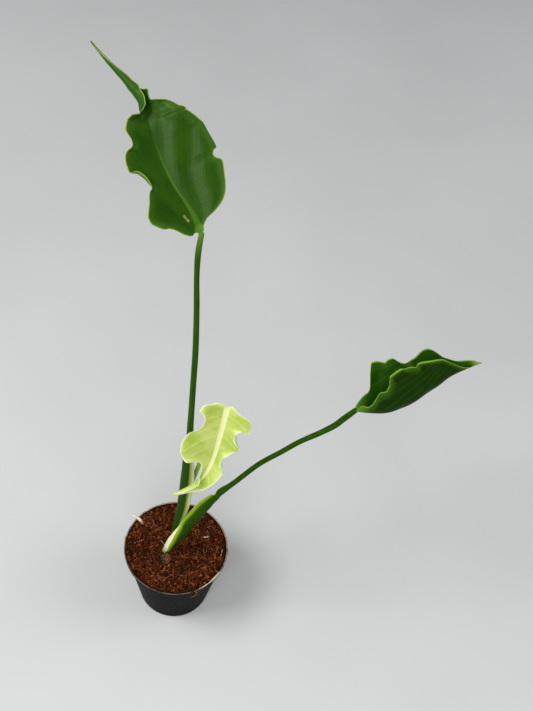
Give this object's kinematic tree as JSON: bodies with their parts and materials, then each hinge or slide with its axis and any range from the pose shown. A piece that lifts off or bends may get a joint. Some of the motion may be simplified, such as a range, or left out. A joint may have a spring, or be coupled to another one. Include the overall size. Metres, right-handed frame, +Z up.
{
  "type": "potted house plant",
  "caption": "Young split-leaf aroid with lobed waved leaves on sheathed stalks, standing in soil in a small round tapered nursery pot.",
  "frame": {"origin": "middle of the pot's underside, on the surface it stands on", "axes": "+Z up, the viewer of the picture towards -Y, +X to the viewer's right"},
  "size_m": [0.3569, 0.231, 0.5584],
  "materials": {
    "pot": "matt black",
    "soil": "rough",
    "stem": "satin",
    "old_stub": "rough",
    "root_tip": "matt",
    "tall_stalk": "satin",
    "tall_blade": "glossy",
    "side_stalk": "satin",
    "side_blade": "glossy",
    "new_stalk": "satin",
    "new_blade": "satin"
  },
  "bodies": {
    "root": {"pot": "pot", "soil": "soil", "stem": "stem", "old_stub": "old_stub", "root_tip": "root_tip", "tall_stalk": "tall_stalk", "tall_blade": "tall_blade", "side_stalk": "side_stalk", "side_blade": "side_blade", "new_stalk": "new_stalk", "new_blade": "new_blade"}
  },
  "joints": []
}
